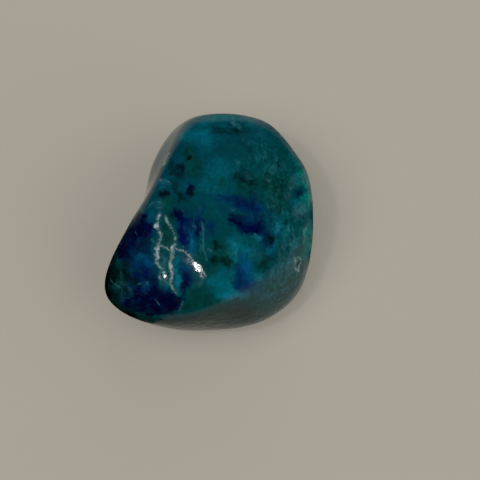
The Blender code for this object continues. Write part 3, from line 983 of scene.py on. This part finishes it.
def with_veins(rock, colour):
    """Lays on the veins: faint threads, then a stained border, a broken core and bright knots."""
    crooked = rock.stirred(rock.stirred(rock.map, 1.2, 0.5, seed=5), 0.25, 0.32, seed=55)
    broken = rock.blotches(rock.map, 0.32, seed=8, detail=2.0)
    beads = rock.blotches(rock.map, 0.9, seed=81)

    threads = vein_field(rock, crooked, UPRIGHT_THREADS, LEVEL_THREADS)
    threads = rock.step(threads + (broken - 0.5) * 0.08, -0.08, 0.08) * (beads * 0.7 + 0.3)
    colour = rock.blend(colour, THREAD, threads * 0.65)

    veins = vein_field(rock, crooked, UPRIGHT_VEINS, LEVEL_VEINS)
    border = rock.step(veins + broken * 0.12, -0.30, 0.06)
    core = rock.step(veins + (broken - 0.7) * 0.2, -0.12, 0.14)
    colour = rock.blend(colour, VEIN_STAIN, border * 0.5)
    colour = rock.blend(colour, VEIN, core * (broken * 0.42 + beads * 0.25 + 0.25))

    knots = rock.step(rock.patches(crooked, VEIN_KNOTS) * (broken * 0.7 + 0.65), 0.15, 0.9)
    return rock.blend(colour, KNOT, knots * 0.8), core


# %% [markdown]
# ## Polish
#
# A tumbled stone is glossy, so at a grazing angle its rim mirrors the pale floor and looks grey. Where the
# polish didn't take, the rim is dull and shows its own dark colour, and at the tip it is painted black:
# painted shade for the shadow under the tip that the real rim mirrors. So the stone has two finishes, and a
# ragged mask along the rim chooses between them. A very low bump roughens the steep front wall.

# %% Two finishes
POLISH_ROUGHNESS = 0.07
DULL_ROUGHNESS = 0.9
STONE_IOR = 1.5
BUMP_HEIGHT = 0.15 * MM
RIM_LEVELS = (3.8, 6.2)  # mm, on the scale of Rock.level: the dull rim ends between these
RIM_WANDER = 8  # mm that the rim's lower edge may wander up and down


def glossy_finish(rock, colour, cores, chalk, front):
    uneven = rock.cloud(rock.map, 0.6, 3.0, 0.6, seed=49) * (front * 0.9 + 0.1)
    bumps = rock.node("ShaderNodeBump", inputs={"Strength": 1.0, "Distance": BUMP_HEIGHT, "Height": uneven})
    roughness = POLISH_ROUGHNESS + cores * 0.10 + chalk * 0.03 + rock.grain * 0.02
    finish = rock.tree.nodes["Principled BSDF"]
    finish.inputs["IOR"].default_value = STONE_IOR
    for name, wire in {"Base Color": colour, "Roughness": roughness, "Normal": bumps}.items():
        rock.tree.links.new(wire.socket, finish.inputs[name])
    return Wire(rock, finish.outputs[0])


def dull_finish(rock, colour):
    """The dull rim's finish, with black painted shade at the tip, and how much of it shows at each place."""
    wander = (rock.cloud(rock.map, 1.6, 3.0, seed=54) - 0.5) * RIM_WANDER
    near_rim = rock.step(rock.level + wander, *RIM_LEVELS)
    tip_shade = rock.step(ragged(rock, rock.map, TIP_SHADE_PATCHES, 0.8, 0.5, seed=47), 0.0, 0.8) * near_rim
    dull = rock.node(
        "ShaderNodeBsdfPrincipled",
        inputs={
            "Base Color": rock.blend(colour, BLACK, tip_shade),
            "Roughness": DULL_ROUGHNESS,
            "Specular IOR Level": 0.0,
        },
    )
    dulled = rock.step(ragged(rock, rock.nearly, DULL, 0.8, 0.45, seed=53), 0.0, 0.6) * near_rim
    return dull, dulled


# %% The whole stone
FRONT_LEAN = (0.72, 0.42)  # the front wall's normal points up by less than this,
FRONT_TURN = (-0.15, -0.6)  # and towards the near end by more than this
COARSE_SIDE = (3.5, 7.5)  # mm across: the grit is coarser to the right of these


def polished_stone():
    material = bpy.data.materials.new("polished_chrysocolla")
    material.use_nodes = True
    rock = Rock(material)
    coarser = rock.step(rock.parts(rock.map)[0], *COARSE_SIDE)
    _, facing_back, facing_up = rock.parts(rock.node("ShaderNodeNewGeometry", output="Normal"))
    front = rock.step(facing_up, *FRONT_LEAN) * rock.step(facing_back, *FRONT_TURN)

    colour = with_malachite(rock, ground(rock))
    colour = with_ink(rock, with_azurite(rock, colour))
    colour = with_oxide(rock, colour)
    colour, silky = with_silky_threads(rock, colour)
    colour, chalk = with_chalk(rock, colour)
    colour = with_grit(rock, with_spots(rock, colour), silky, coarser)
    # The front wall is darkened with painted shade.
    colour = with_front_wall_shade(rock, colour, front, coarser)
    colour, cores = with_veins(rock, colour)

    glossy = glossy_finish(rock, colour, cores, chalk, front)
    dull, dulled = dull_finish(rock, colour)
    skin = rock.node("ShaderNodeMixShader", inputs={0: dulled, 1: glossy, 2: dull})
    rock.tree.links.new(skin.socket, rock.tree.nodes["Material Output"].inputs["Surface"])
    return material


stone_material = polished_stone()
print("shader nodes:", len(stone_material.node_tree.nodes))

# %% [markdown]
# ## Dressing the solid
#
# The node tree runs once, on a merged copy of the solid, and its result is kept as a plain mesh. The skin
# then rides on the solid's body and stands in for the solid, which is hidden.

# %% Make the skin
def make_skin():
    mesh = bpy.data.meshes.new("skin_source")
    merged.to_mesh(mesh)
    source = bpy.data.objects.new("skin_source", mesh)
    scene.collection.objects.link(source)
    modifier = source.modifiers.new("polished_skin", "NODES")
    modifier.node_group = skin_tree(stone_material)
    for item in modifier.node_group.interface.items_tree:
        if item.in_out == "INPUT" and item.socket_type != "NodeSocketGeometry":
            modifier[item.identifier] = item.default_value
    graph = bpy.context.evaluated_depsgraph_get()
    finished = bpy.data.meshes.new_from_object(source.evaluated_get(graph))
    bpy.data.objects.remove(source)
    finished.name = "stone_skin"
    skin = bpy.data.objects.new("stone_skin", finished)
    scene.collection.objects.link(skin)
    return skin


skin = make_skin()
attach(skin, "root")
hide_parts("stone")
print("skin triangles:", len(skin.data.polygons), "sides, mm:", [round(s / MM, 2) for s in skin.dimensions])

# %% [markdown]
# ## Last look at the size
#
# The skin has to fill the same space as the solid, or the stone would float or sink on a real shelf.
